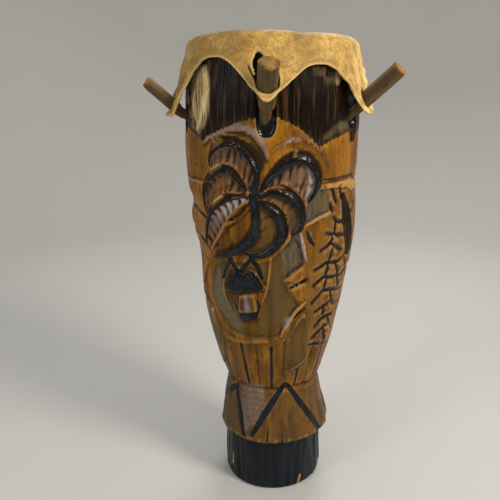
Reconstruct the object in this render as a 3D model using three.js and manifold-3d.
// A kpanlogo hand drum: a goblet-shaped shell hollowed from one log, a rawhide head stretched over
// its rim, and six whittled pegs driven into slanting holes, each holding down one tab of the hide.
// Millimetres, +Z up. The origin is on the floor, on the shell's axis. An azimuth is in degrees from
// the front of the drum (-Y), turning towards +X.
import * as THREE from "three";
import { mergeVertices } from "three/addons/utils/BufferGeometryUtils.js";
import Module from "manifold-3d";

const wasm = await Module();
wasm.setup();

// The whole drum
const DRUM_HEIGHT = 610;
const WALL_SIDES = 48;

// Shell, outside
const FOOT_RADIUS = 69;
const FOOT_TAPER = 1;
const FOOT_EDGE_WEAR = 3;
const SKIRT_HEIGHT = 81;
const SKIRT_OVERHANG = 10;
const SKIRT_LIP = 2;
const WAIST_HEIGHT = 157;
const WAIST_RADIUS = 64;
const SHOULDER_HEIGHT = 441;
const SHOULDER_RADIUS = 108.5;
const SHOULDER_STEP = 3;
const BELLY_FULLNESS_SHARE = 0.85;
const BELLY_RINGS = 10;

// Shell, inside
const FOOT_WALL = 17;
const THROAT_WALL = 22;
const THROAT_HEIGHT = 150;
const CHAMBER_WALL = 18.5;
const CHAMBER_RINGS = 6;

// The rim: the barrel draws in towards it, and its bearing edge is rounded for the hide to roll over
const RIM_TAPER_LENGTH = 55;
const RIM_TAPER = 5.8;
const EDGE_WIDTH = 14.7;
const EDGE_DROP = 12.7;
const EDGE_INNER_ROUND = 3;
const EDGE_RINGS = 3;

// Rawhide head
const HIDE_THICKNESS = 2;
const HIDE_SEAT_GAP = 0.3;
const HIDE_ARCH_GAP = 0.6;
const HEM_WIDTH = 6;
const ARCH_FLAT_SHARE = 0.16;
const SKIRT_ROW_SHARES = [0.5, 1];
const TAB_SIDE_ANGLES = [-11, -6, -2.5, 0, 2.5, 6, 11];
const LEAST_COLUMN_ANGLE = 1;

// The carving on the belly: a whorl in front, as wide as the drum, over a small mask and a leaf, and a
// plainer whorl behind. The whorls' blades are raised ridges, each between a bevel on its outer side and
// a hollow petal on its inner side.
const RIDGE_HEIGHT = 2;
const RIDGE_HALF_WIDTH = 4;
const RIDGE_SHARES = [0.15, 0.7, 1, 1.1, 1, 0.7, 0.15];
const RIDGE_ROOT = 2;
const RIDGE_KEEL = 5.5;
const PETAL_DEPTH = 2.8;
const BEVEL_DEPTH = 3.4;
const HOLLOW_BRIM = 1;
const HOLLOW_CAP = 8;
const BOSS_RADIUS = 7;
const BOSS_HEIGHT = 1.4;
const BOSS_SIDES = 9;

// The front is traced on the photograph, in its pixels. A pixel on the wall is a share of the drum's
// height. It grows a little for each pixel further down, is more up the wall than round it, and
// stretches towards the sides, where the wall turns away. The hub's pixels are those of the drum's axis
// at the height of the hub, which is a share of the drum's height too.
const PIXEL_SIZE_SHARE = 0.0019;
const PIXEL_RISE_SHARE = 1.04;
const PIXEL_STRETCH_SHARE = 0.23;
const PIXEL_GROWTH_SHARE = 0.00073;
const FRONT_WHORL = { heightShare: 0.7025, hubPixels: [273, 197], bossPixels: [251.5, 196.5] };
const FRONT_BLADE_PIXELS = [
  { tips: [[252, 194], [209.5, 167]],
    ridge: [[255, 178], [250, 161], [235, 147], [219, 146.5], [211, 155]],
    outer: [[261, 173], [262, 156], [243, 139], [219, 137], [209.5, 148]],
    inner: [[247, 186], [240, 174], [231, 165.5], [219, 163.5], [213, 166]] },
  { tips: [[247, 195], [207, 213]],
    ridge: [[241, 185], [231, 175], [219, 172], [208, 181], [204, 198]],
    outer: [[244.5, 182], [235.5, 168], [220, 163.5], [205.5, 176], [203, 190]],
    inner: [[242, 193.5], [233.5, 192], [222, 193], [214, 198.5], [210, 205]] },
  { tips: [[249, 197], [208.5, 249]],
    ridge: [[241, 198], [228, 200], [217, 206.5], [209, 218], [207, 234]],
    outer: [[242, 193.5], [229, 192], [217, 195.5], [209.5, 205], [206, 220]],
    inner: [[243, 203.5], [234, 211], [227, 219.5], [220.5, 231], [214, 243]] },
  { tips: [[252.5, 199], [215, 257]],
    ridge: [[255.5, 212], [255.5, 229], [250, 241.5], [237, 250], [225, 254.5]],
    inner: [[247, 203], [239, 209], [230, 219], [222, 233], [216, 245]] },
  { tips: [[254, 199], [246, 254]],
    ridge: [[267, 207.5], [279, 220], [281.5, 235], [274, 248.5], [259.5, 256]],
    outer: [[268, 200.5], [283, 209], [288.5, 226], [284, 244], [266, 258]],
    inner: [[257, 206], [259.5, 214], [259.5, 225], [257.5, 233], [254, 240]] },
  { tips: [[256, 197.5], [291, 238]],
    ridge: [[270, 194.5], [284.5, 195], [297, 204], [302, 218], [297, 231.5]],
    outer: [[270, 188], [284.5, 184], [300.5, 194.5], [306, 215], [303.5, 229]],
    inner: [[262, 199], [270, 200.5], [280, 206], [286.5, 214.5], [288, 224]] },
  { tips: [[255.5, 195.5], [309, 202]],
    ridge: [[266, 184.5], [281, 170], [299, 161], [314.5, 169], [318, 184]],
    outer: [[262.5, 179.5], [276, 161.5], [300, 149.5], [321, 163.5], [322, 183]],
    inner: [[266, 190], [276.5, 184], [288, 185.5], [297, 192], [303, 199]] },
];

// Raised forms below the whorl: the mask's brow, nose, mouth and jaw, the rim of its cheek, and the leaf
const BROW_HALF_WIDTH = 9.5;
const NOSE_HALF_WIDTH = 8;
const MOUTH_HALF_WIDTH = 4;
const LEAF_HALF_WIDTH = 12;
const FRONT_RIDGE_PIXELS = [
  { tips: [[226, 286], [265, 288]], halfWidth: BROW_HALF_WIDTH,
    ridge: [[233, 283], [240, 282.5], [247, 282], [253, 282], [259, 283.5]] },
  { tips: [[247, 293], [248, 314]], halfWidth: NOSE_HALF_WIDTH,
    ridge: [[247, 296], [247, 300], [247.5, 304], [248, 308], [248, 311]] },
  { tips: [[239, 317], [259.5, 315.5]], halfWidth: MOUTH_HALF_WIDTH,
    ridge: [[242, 317], [246, 317], [249, 316.5], [252.5, 316], [256, 316]] },
  { tips: [[206, 262], [283, 340]], halfWidth: RIDGE_HALF_WIDTH,
    ridge: [[204.5, 277], [210, 305], [222, 329], [243, 341.5], [265, 342]] },
  { tips: [[305, 302], [281, 337]], halfWidth: RIDGE_HALF_WIDTH,
    ridge: [[301, 306], [296, 311], [290, 319], [286, 326], [283, 331]] },
  { tips: [[307, 313], [284, 375]], halfWidth: LEAF_HALF_WIDTH,
    ridge: [[304, 324], [301, 336], [298, 347], [294, 357], [289, 367]] },
];

// The back whorl's blades curl out from their hub by a turn that grows along each of them. The two
// steps, in radians, make one blade start a little early and the next one reach a little less.
const BACK_WHORL = { azimuth: 196, heightShare: 0.577, blades: 7 };
const BACK_BLADE_REACH = 48;
const BACK_BLADE_UNEVEN = 5;
const BACK_BLADE_REACH_STEP = 1.7;
const BACK_BLADE_CURL = 1.9;
const BACK_BLADE_CURL_POWER = 1.3;
const BACK_START_UNEVEN = 0.3;
const BACK_START_STEP = 2.1;
const BACK_ROOT_SHARE = 0.04;
const BACK_STATION_SHARES = [0.2, 0.36, 0.52, 0.68, 0.84];
const BACK_OUTER = { reachShare: 1.12, turn: -0.42 };
const BACK_INNER = { reachShare: 0.8, turn: 0.55 };

// Fits, and the depth by which a cutter runs past what it cuts
const PEG_HOLE_GAP = 0.3;
const HOLE_SIDES = 24;
const SLIT_GAP = 0.6;
const SLIT_SEGMENTS = 8;
const CUT_OVERRUN = 30;
const MERGE_TOLERANCE = 0.001;
const SLIVER_SIZE = 0.01;

// Pegs, as they would be if all were alike. The drops are measured down from the head: to the middle
// of a peg's hole, to where the hide grips the peg, and to the top of the arch between two pegs.
const PEG_STUB = 65;
const PEG_THICKNESS = 18;
const PEG_TAIL = 15;
const PEG_TAIL_REACH = 40;
const PEG_TAPER_LENGTH = 14;
const PEG_TAPER_CLEAR = 0.5;
const PEG_DRIVE_IN = 6;
const PEG_CHAMFER = 2;
const PEG_TAIL_CHAMFER = 3;
const PEG_SIDES = 8;
const SLIT_LENGTH = 32;
const HOLE_DROP = 88;
const GRIP_DROP = 76;
const ARCH_DROP = 32;

// Each was whittled by hand and bored by eye, so no two are alike: a peg's azimuth, its lean above the
// horizontal and its swing off the radius, and its own share of each size above. Its arch is the one
// between it and the next peg round.
const PEG_SHARES = [
  { name: "peg_front", azimuth: -4, lean: 53, swing: 10,
    stub: 0.95, thickness: 1.11, tail: 1, slit: 1.06, hole: 0.94, grip: 0.88, arch: 1.09 },
  { name: "peg_front_right", azimuth: 60, lean: 41, swing: 0,
    stub: 1.14, thickness: 1, tail: 1, slit: 1, hole: 0.98, grip: 1.04, arch: 1 },
  { name: "peg_back_right", azimuth: 126, lean: 48, swing: -3,
    stub: 0.92, thickness: 1, tail: 0.97, slit: 0.94, hole: 1, grip: 1, arch: 1.09 },
  { name: "peg_back", azimuth: 181, lean: 50, swing: 2,
    stub: 0.95, thickness: 1.06, tail: 1, slit: 1, hole: 0.98, grip: 0.96, arch: 0.94 },
  { name: "peg_back_left", azimuth: 235, lean: 46, swing: -4,
    stub: 0.98, thickness: 0.94, tail: 0.93, slit: 0.94, hole: 1.03, grip: 1.05, arch: 1.06 },
  { name: "peg_front_left", azimuth: 288, lean: 41, swing: 0,
    stub: 0.98, thickness: 0.8, tail: 0.8, slit: 0.82, hole: 1.07, grip: 1.09, arch: 0.84 },
];
const pegs = PEG_SHARES.map((shares) => ({
  ...shares,
  stub: PEG_STUB * shares.stub,
  thickness: PEG_THICKNESS * shares.thickness,
  tail: PEG_TAIL * shares.tail,
  slit: SLIT_LENGTH * shares.slit,
  holeHeight: DRUM_HEIGHT - HOLE_DROP * shares.hole,
  gripHeight: DRUM_HEIGHT - GRIP_DROP * shares.grip,
  archHeight: DRUM_HEIGHT - ARCH_DROP * shares.arch,
}));

// Heights and radii that follow from the sizes above
const footTopRadius = FOOT_RADIUS - FOOT_TAPER;
const skirtRadius = footTopRadius + SKIRT_OVERHANG;
const barrelRadius = SHOULDER_RADIUS + SHOULDER_STEP;
const edgeOuterRadius = barrelRadius - RIM_TAPER;
const edgeCrownRadius = edgeOuterRadius - EDGE_WIDTH;
const hideReach = HIDE_SEAT_GAP + HIDE_THICKNESS;
const edgeTop = DRUM_HEIGHT - hideReach;
const edgeFoot = edgeTop - EDGE_DROP;
const pixelSize = DRUM_HEIGHT * PIXEL_SIZE_SHARE;
const frontHubHeight = DRUM_HEIGHT * FRONT_WHORL.heightShare;
const backHubHeight = DRUM_HEIGHT * BACK_WHORL.heightShare;

const radians = THREE.MathUtils.degToRad;
const point = (radius, height) => new THREE.Vector2(radius, height);

// A point of a section, turned to an azimuth
function placeAt(section, azimuth) {
  const turn = radians(azimuth);
  return new THREE.Vector3(section.x * Math.sin(turn), -section.x * Math.cos(turn), section.y);
}

const woodMaterial = new THREE.MeshStandardMaterial({ color: 0xa8742c, roughness: 0.5, metalness: 0 });
const hideMaterial = new THREE.MeshStandardMaterial({ color: 0xc4a468, roughness: 0.75, metalness: 0 });
const pegMaterial = new THREE.MeshStandardMaterial({ color: 0x7d6244, roughness: 0.7, metalness: 0 });

// A geometry as a solid that can be cut
function solidOf(geometry, matrix = new THREE.Matrix4()) {
  const bare = geometry.clone().applyMatrix4(matrix);
  bare.deleteAttribute("normal");
  bare.deleteAttribute("uv");
  const merged = mergeVertices(bare, MERGE_TOLERANCE);
  return new wasm.Manifold(
    new wasm.Mesh({
      numProp: 3,
      vertProperties: merged.attributes.position.array,
      triVerts: new Uint32Array(merged.index.array),
    }),
  );
}

// A cut solid as a geometry that can be drawn
function geometryOf(solid) {
  const cut = solid.getMesh();
  const geometry = new THREE.BufferGeometry();
  geometry.setAttribute("position", new THREE.BufferAttribute(cut.vertProperties, 3));
  geometry.setIndex(new THREE.BufferAttribute(cut.triVerts, 1));
  const flat = geometry.toNonIndexed();
  flat.computeVertexNormals();
  return flat;
}

// A quarter of an ellipse round the crown of the bearing edge, from its top to its outer side
function edgeArc(width, drop, rings) {
  return Array.from({ length: rings + 1 }, (_, i) => {
    const turn = ((i / rings) * Math.PI) / 2;
    return point(edgeCrownRadius + width * Math.sin(turn), edgeFoot + drop * Math.cos(turn));
  });
}

// The swelling wall from a narrow neck to a wide shoulder, steep at first and then rounding off
function bellyRadius(neckRadius, wideRadius, climb) {
  const swell = Math.sin((Math.PI / 2) * climb ** BELLY_FULLNESS_SHARE);
  return neckRadius + (wideRadius - neckRadius) * swell;
}

function bellyCurve(neckRadius, neckHeight, wideRadius, wideHeight, rings) {
  return Array.from({ length: rings + 1 }, (_, i) => {
    const climb = i / rings;
    const height = neckHeight + (wideHeight - neckHeight) * climb;
    return point(bellyRadius(neckRadius, wideRadius, climb), height);
  });
}

// Outer radius of the barrel above the shoulder, which draws in towards the bearing edge
function barrelRadiusAt(height) {
  const rise = (height - edgeFoot) / RIM_TAPER_LENGTH + 1;
  return barrelRadius - RIM_TAPER * Math.min(1, Math.max(0, rise));
}

// The log shell: a worn foot, a flared skirt that overhangs it, the waist, the swelling belly, a step
// up to the plain barrel, and the rounded rim. Inside, the bore runs from the foot to the chamber.
function shellProfile() {
  const outside = [
    point(FOOT_RADIUS - FOOT_EDGE_WEAR, 0),
    point(FOOT_RADIUS, FOOT_EDGE_WEAR),
    point(footTopRadius, SKIRT_HEIGHT - SKIRT_LIP),
    point(skirtRadius - SKIRT_LIP, SKIRT_HEIGHT - SKIRT_LIP),
    point(skirtRadius, SKIRT_HEIGHT),
    ...bellyCurve(WAIST_RADIUS, WAIST_HEIGHT, SHOULDER_RADIUS, SHOULDER_HEIGHT, BELLY_RINGS),
    point(barrelRadius, SHOULDER_HEIGHT + SHOULDER_STEP),
    point(barrelRadius, edgeFoot - RIM_TAPER_LENGTH),
  ];
  const rim = edgeArc(EDGE_WIDTH, EDGE_DROP, EDGE_RINGS).reverse();
  const throat = WAIST_RADIUS - THROAT_WALL;
  const chamber = barrelRadius - CHAMBER_WALL;
  const inside = [
    point(edgeCrownRadius - EDGE_INNER_ROUND, edgeTop - EDGE_INNER_ROUND),
    ...bellyCurve(throat, THROAT_HEIGHT, chamber, SHOULDER_HEIGHT, CHAMBER_RINGS).reverse(),
    point(FOOT_RADIUS - FOOT_WALL, 0),
  ];
  return [...outside, ...rim, ...inside, outside[0].clone()];
}

// Where a peg's axis meets the barrel, and which way it points, out of the drum
function pegAxis(peg) {
  const lean = radians(peg.lean);
  return {
    root: placeAt(point(barrelRadius, peg.holeHeight), peg.azimuth),
    along: placeAt(point(Math.cos(lean), Math.sin(lean)), peg.azimuth + peg.swing),
  };
}

// Turns +Y along a peg, +Z to the upper side of it, and puts the origin a distance along it
function pegMatrix(peg, distance = 0) {
  const { root, along } = pegAxis(peg);
  const sideways = new THREE.Vector3(0, 0, 1).cross(along).normalize();
  const upper = new THREE.Vector3().crossVectors(along, sideways);
  const matrix = new THREE.Matrix4().makeBasis(sideways.negate(), along, upper);
  return matrix.setPosition(root.clone().addScaledVector(along, distance));
}

// The hide leaves the bearing edge here on every side
const hideTop = point(edgeOuterRadius + hideReach, edgeFoot);

// Where the hide bears on the lower side of a peg, as radius and height
function gripPoint(peg) {
  const lean = radians(peg.lean);
  const under = (peg.thickness / 2 + SLIT_GAP) / Math.sin(lean);
  const out = (peg.gripHeight - peg.holeHeight) / Math.tan(lean);
  return point(barrelRadius + out + under, peg.gripHeight);
}

// How far along its axis a peg is when it comes through the hide, and at which azimuth that is
function gripReach(peg) {
  return (peg.gripHeight - peg.holeHeight) / Math.sin(radians(peg.lean)) + peg.thickness / 2;
}

function tabAzimuth(peg) {
  const { root, along } = pegAxis(peg);
  const crossing = root.addScaledVector(along, gripReach(peg));
  return THREE.MathUtils.radToDeg(Math.atan2(crossing.x, -crossing.y));
}

// The lowest point of a tab: the hide runs on past its grip by the width of the hem
function tabPoint(peg) {
  const grip = gripPoint(peg);
  return grip.clone().add(grip.clone().sub(hideTop).setLength(HEM_WIDTH));
}

// The hem of the hide at an azimuth: a tab at each peg, and an arch between two pegs
function hemPoint(azimuth) {
  const turned = (peg) => THREE.MathUtils.euclideanModulo(azimuth - tabAzimuth(peg), 360);
  const before = pegs.reduce((a, b) => (turned(b) < turned(a) ? b : a));
  const after = pegs[(pegs.indexOf(before) + 1) % pegs.length];
  const gap = THREE.MathUtils.euclideanModulo(tabAzimuth(after) - tabAzimuth(before), 360);
  const share = turned(before) / gap;
  const nearest = share < 0.5 ? before : after;
  const away = Math.min(share, 1 - share) * 2;
  const lift = THREE.MathUtils.smoothstep(away, 0, 1 - ARCH_FLAT_SHARE);
  const archRadius = barrelRadiusAt(before.archHeight) + HIDE_ARCH_GAP + HIDE_THICKNESS;
  const arch = point(archRadius, before.archHeight);
  return tabPoint(nearest).lerp(arch, lift);
}

// The hide's section at an azimuth, from the middle of the head to the hem, outside or inside
function hideSection(azimuth, inside) {
  const depth = inside ? HIDE_THICKNESS : 0;
  const reach = hideReach - depth;
  const roll = edgeArc(EDGE_WIDTH + reach, EDGE_DROP + reach, EDGE_RINGS);
  const hem = hemPoint(azimuth);
  const down = hem.clone().sub(hideTop).normalize();
  const inward = point(down.y, -down.x).multiplyScalar(depth);
  const skirt = SKIRT_ROW_SHARES.map((share) => hideTop.clone().lerp(hem, share).add(inward));
  return [...roll, ...skirt];
}

// The azimuths of the hide's columns: those of the shell's sides, and more on each tab
function hideAzimuths() {
  const sides = Array.from({ length: WALL_SIDES }, (_, i) => (i * 360) / WALL_SIDES);
  const extra = pegs.flatMap((peg) => TAB_SIDE_ANGLES.map((angle) => tabAzimuth(peg) + angle));
  const all = [...sides, ...extra].map((angle) => THREE.MathUtils.euclideanModulo(angle, 360));
  all.sort((a, b) => a - b);
  return all.filter((angle, i) => i === 0 || angle - all[i - 1] > LEAST_COLUMN_ANGLE);
}

// A closed surface from a first pole, through rings of points, to a last pole
function surfaceBetweenPoles(first, rings, last) {
  const columns = rings[0].length;
  const places = [first, ...rings.flat(), last];
  const at = (ring, column) => 1 + ring * columns + (column % columns);
  const faces = [];
  for (let column = 0; column < columns; column++) {
    faces.push(0, at(0, column), at(0, column + 1));
    for (let ring = 0; ring + 1 < rings.length; ring++) {
      const [a, b] = [at(ring, column), at(ring + 1, column)];
      const [c, d] = [at(ring + 1, column + 1), at(ring, column + 1)];
      faces.push(a, b, c, a, c, d);
    }
    faces.push(at(rings.length - 1, column), places.length - 1, at(rings.length - 1, column + 1));
  }
  const geometry = new THREE.BufferGeometry().setFromPoints(places);
  geometry.setIndex(faces);
  return geometry;
}

// The slit that a peg comes out through, seen along the peg: round below, and pointed above
function slitCutter(peg) {
  const radius = peg.thickness / 2 + SLIT_GAP;
  const outline = new THREE.Shape();
  outline.moveTo(radius, 0);
  outline.lineTo(0, peg.slit);
  outline.lineTo(-radius, 0);
  outline.absarc(0, 0, radius, Math.PI, 2 * Math.PI, false);
  const length = 2 * CUT_OVERRUN;
  const options = { depth: length, bevelEnabled: false, curveSegments: SLIT_SEGMENTS };
  const cutter = new THREE.ExtrudeGeometry(outline, options);
  cutter.translate(0, 0, -length / 2);
  cutter.rotateX(Math.PI / 2);
  cutter.rotateY(Math.PI);
  return solidOf(cutter, pegMatrix(peg, gripReach(peg)));
}

function buildHide() {
  const azimuths = hideAzimuths();
  const outer = azimuths.map((azimuth) => hideSection(azimuth, false));
  const inner = azimuths.map((azimuth) => hideSection(azimuth, true));
  const ringOf = (sections, row) => sections.map((section, i) => placeAt(section[row], azimuths[i]));
  const rows = outer[0].map((_, row) => row);
  const rings = [
    ...rows.map((row) => ringOf(outer, row)),
    ...rows.reverse().map((row) => ringOf(inner, row)),
  ];
  const top = new THREE.Vector3(0, 0, DRUM_HEIGHT);
  const under = new THREE.Vector3(0, 0, DRUM_HEIGHT - HIDE_THICKNESS);
  let hide = solidOf(surfaceBetweenPoles(top, rings, under));
  for (const peg of pegs) hide = hide.subtract(slitCutter(peg));
  const mesh = new THREE.Mesh(geometryOf(hide), hideMaterial);
  mesh.name = "drumhead";
  return mesh;
}

// The hole that a peg is driven into, right through the wall
function pegHoleCutter(peg) {
  const radius = peg.tail / 2 + PEG_HOLE_GAP;
  const length = PEG_TAIL_REACH + 2 * CUT_OVERRUN;
  const cutter = new THREE.CylinderGeometry(radius, radius, length, HOLE_SIDES);
  return solidOf(cutter, pegMatrix(peg, -PEG_TAIL_REACH / 2));
}

// Outer radius of the wall at a height, from the waist up
function wallRadiusAt(height) {
  const climb = (height - WAIST_HEIGHT) / (SHOULDER_HEIGHT - WAIST_HEIGHT);
  if (climb >= 1) return barrelRadiusAt(height);
  return bellyRadius(WAIST_RADIUS, SHOULDER_RADIUS, Math.max(0, climb));
}

// A spot of a whorl, given in millimetres round the wall and up it, standing out of the wall or let in
function wallSpot(spot, azimuth, proud) {
  const radius = wallRadiusAt(spot.y);
  const turn = THREE.MathUtils.radToDeg(spot.x / radius);
  return placeAt(point(radius + proud, spot.y), azimuth + turn);
}

// A hollow from one tip to the other, whose sections run from a near line to a far line on the wall
function hollowCutter({ tips, near, far, depth, azimuth }) {
  const across = far[0].clone().sub(near[0]);
  const ahead = near[1].clone().sub(near[0]);
  const [left, right] = across.cross(ahead) > 0 ? [near, far] : [far, near];
  const sections = left.map((spot, i) => {
    const middle = spot.clone().lerp(right[i], 0.5);
    return [
      wallSpot(spot, azimuth, HOLLOW_BRIM),
      wallSpot(middle, azimuth, -depth),
      wallSpot(right[i], azimuth, HOLLOW_BRIM),
      wallSpot(middle, azimuth, HOLLOW_CAP),
    ];
  });
  const [first, last] = tips.map((tip) => wallSpot(tip, azimuth, HOLLOW_BRIM));
  return solidOf(surfaceBetweenPoles(first, sections, last));
}

// A raised ridge from one tip to the other, narrow and low at both, with a keel below every hollow
function ridgeSolid({ tips, ridge, azimuth, halfWidth = RIDGE_HALF_WIDTH }) {
  const path = [tips[0], ...ridge, tips[1]];
  const sections = path.map((spot, i) => {
    const [before, after] = [path[Math.max(0, i - 1)], path[Math.min(path.length - 1, i + 1)]];
    const side = after.clone().sub(before).rotateAround(new THREE.Vector2(), -Math.PI / 2);
    side.setLength(halfWidth * RIDGE_SHARES[i]);
    return [
      wallSpot(spot.clone().sub(side), azimuth, -RIDGE_ROOT),
      wallSpot(spot, azimuth, -RIDGE_KEEL),
      wallSpot(spot.clone().add(side), azimuth, -RIDGE_ROOT),
      wallSpot(spot, azimuth, RIDGE_HEIGHT * RIDGE_SHARES[i]),
    ];
  });
  const [first, last] = tips.map((tip) => wallSpot(tip, azimuth, -RIDGE_ROOT));
  return solidOf(surfaceBetweenPoles(first, sections, last));
}

// The low boss in the middle of a whorl, where its ridges meet
function bossSolid(hub, azimuth) {
  const turnOf = (i) => (2 * Math.PI * i) / BOSS_SIDES;
  const rim = Array.from({ length: BOSS_SIDES }, (_, i) => {
    return point(BOSS_RADIUS, 0).rotateAround(point(0, 0), turnOf(i)).add(hub);
  });
  const rings = [0, -RIDGE_KEEL].map((proud) => rim.map((spot) => wallSpot(spot, azimuth, proud)));
  const [top, root] = [BOSS_HEIGHT, -RIDGE_KEEL].map((proud) => wallSpot(hub, azimuth, proud));
  return solidOf(surfaceBetweenPoles(top, rings, root));
}

// A pixel of the photograph as millimetres round the wall and up it
function fromPixel([x, y]) {
  const [right, down] = [x - FRONT_WHORL.hubPixels[0], y - FRONT_WHORL.hubPixels[1]];
  const size = pixelSize * (1 + PIXEL_GROWTH_SHARE * down);
  const up = frontHubHeight - down * size * PIXEL_RISE_SHARE;
  const stretch = PIXEL_STRETCH_SHARE * ((right * size) / wallRadiusAt(up)) ** 2;
  return point(right * size * (1 + stretch), up);
}

// Traced forms, with their lines of pixels turned into lines on the wall
function onWall(traced) {
  return traced.map(({ halfWidth, ...drawn }) => {
    const lines = Object.entries(drawn).map(([line, pixels]) => [line, pixels.map(fromPixel)]);
    return { ...Object.fromEntries(lines), halfWidth, azimuth: 0 };
  });
}

// The back whorl's blades, which follow one rule but differ a little in reach and start
function backBlades() {
  return Array.from({ length: BACK_WHORL.blades }, (_, i) => {
    const early = BACK_START_UNEVEN * Math.sin(BACK_START_STEP * i);
    const start = (2 * Math.PI * i) / BACK_WHORL.blades + early;
    const reach = BACK_BLADE_REACH + BACK_BLADE_UNEVEN * Math.sin(BACK_BLADE_REACH_STEP * i);
    const spot = (share, reachShare = 1, turn = 0) => {
      const curl = BACK_BLADE_CURL * share ** BACK_BLADE_CURL_POWER;
      const bend = start + curl + turn * Math.sin(Math.PI * share);
      const away = reach * reachShare * share;
      return point(away * Math.sin(bend), backHubHeight + away * Math.cos(bend));
    };
    return {
      tips: [spot(BACK_ROOT_SHARE), spot(1)],
      ridge: BACK_STATION_SHARES.map((share) => spot(share)),
      outer: BACK_STATION_SHARES.map((share) => spot(share, BACK_OUTER.reachShare, BACK_OUTER.turn)),
      inner: BACK_STATION_SHARES.map((share) => spot(share, BACK_INNER.reachShare, BACK_INNER.turn)),
      azimuth: BACK_WHORL.azimuth,
    };
  });
}

// The belly with a whorl's hollows cut into it, and then its ridges and its boss laid on
function carveWhorl(shell, blades, hub) {
  let carved = shell;
  for (const { tips, ridge, outer, inner, azimuth } of blades) {
    const petal = hollowCutter({ tips, near: ridge, far: inner, depth: PETAL_DEPTH, azimuth });
    carved = carved.subtract(petal);
    if (!outer) continue;
    carved = carved.subtract(hollowCutter({ tips, near: ridge, far: outer, depth: BEVEL_DEPTH, azimuth }));
  }
  for (const blade of blades) carved = carved.add(ridgeSolid(blade));
  return carved.add(bossSolid(hub, blades[0].azimuth));
}

// The largest body of a solid, without the crumbs and pinholes that crossing cuts leave behind
function largestBody(solid) {
  return solid.decompose().reduce((a, b) => (b.volume() > a.volume() ? b : a));
}

function buildShell() {
  const lathe = new THREE.LatheGeometry(shellProfile(), WALL_SIDES);
  const upright = new THREE.Matrix4().makeRotationX(Math.PI / 2);
  let shell = solidOf(lathe, upright);
  shell = carveWhorl(shell, onWall(FRONT_BLADE_PIXELS), fromPixel(FRONT_WHORL.bossPixels));
  shell = carveWhorl(shell, backBlades(), point(0, backHubHeight));
  for (const form of onWall(FRONT_RIDGE_PIXELS)) shell = shell.add(ridgeSolid(form));
  shell = largestBody(shell).simplify(SLIVER_SIZE);
  for (const peg of pegs) shell = shell.subtract(pegHoleCutter(peg));
  const mesh = new THREE.Mesh(geometryOf(shell.simplify(SLIVER_SIZE)), woodMaterial);
  mesh.name = "drum_shell";
  return mesh;
}

// A whittled peg: a plain tail in its hole, a short taper, and an eight-sided stub with a blunt end.
// The taper starts where it still clears the hole with the peg driven fully in.
function buildPeg(peg) {
  const tail = peg.tail / 2;
  const thick = peg.thickness / 2;
  const taperStart = tail * Math.tan(radians(peg.lean)) + PEG_DRIVE_IN + PEG_TAPER_CLEAR;
  const profile = [
    point(0, -PEG_TAIL_REACH),
    point(tail - PEG_CHAMFER, -PEG_TAIL_REACH),
    point(tail, PEG_TAIL_CHAMFER - PEG_TAIL_REACH),
    point(tail, taperStart),
    point(thick, taperStart + PEG_TAPER_LENGTH),
    point(thick, peg.stub - PEG_CHAMFER),
    point(thick - PEG_CHAMFER, peg.stub),
    point(0, peg.stub),
  ];
  const geometry = new THREE.LatheGeometry(profile, PEG_SIDES, Math.PI / PEG_SIDES);
  const mesh = new THREE.Mesh(geometry, pegMaterial);
  mesh.name = peg.name;
  mesh.applyMatrix4(pegMatrix(peg));
  return mesh;
}

const drum = new THREE.Group();
drum.add(buildShell(), buildHide(), ...pegs.map(buildPeg));

export default drum;
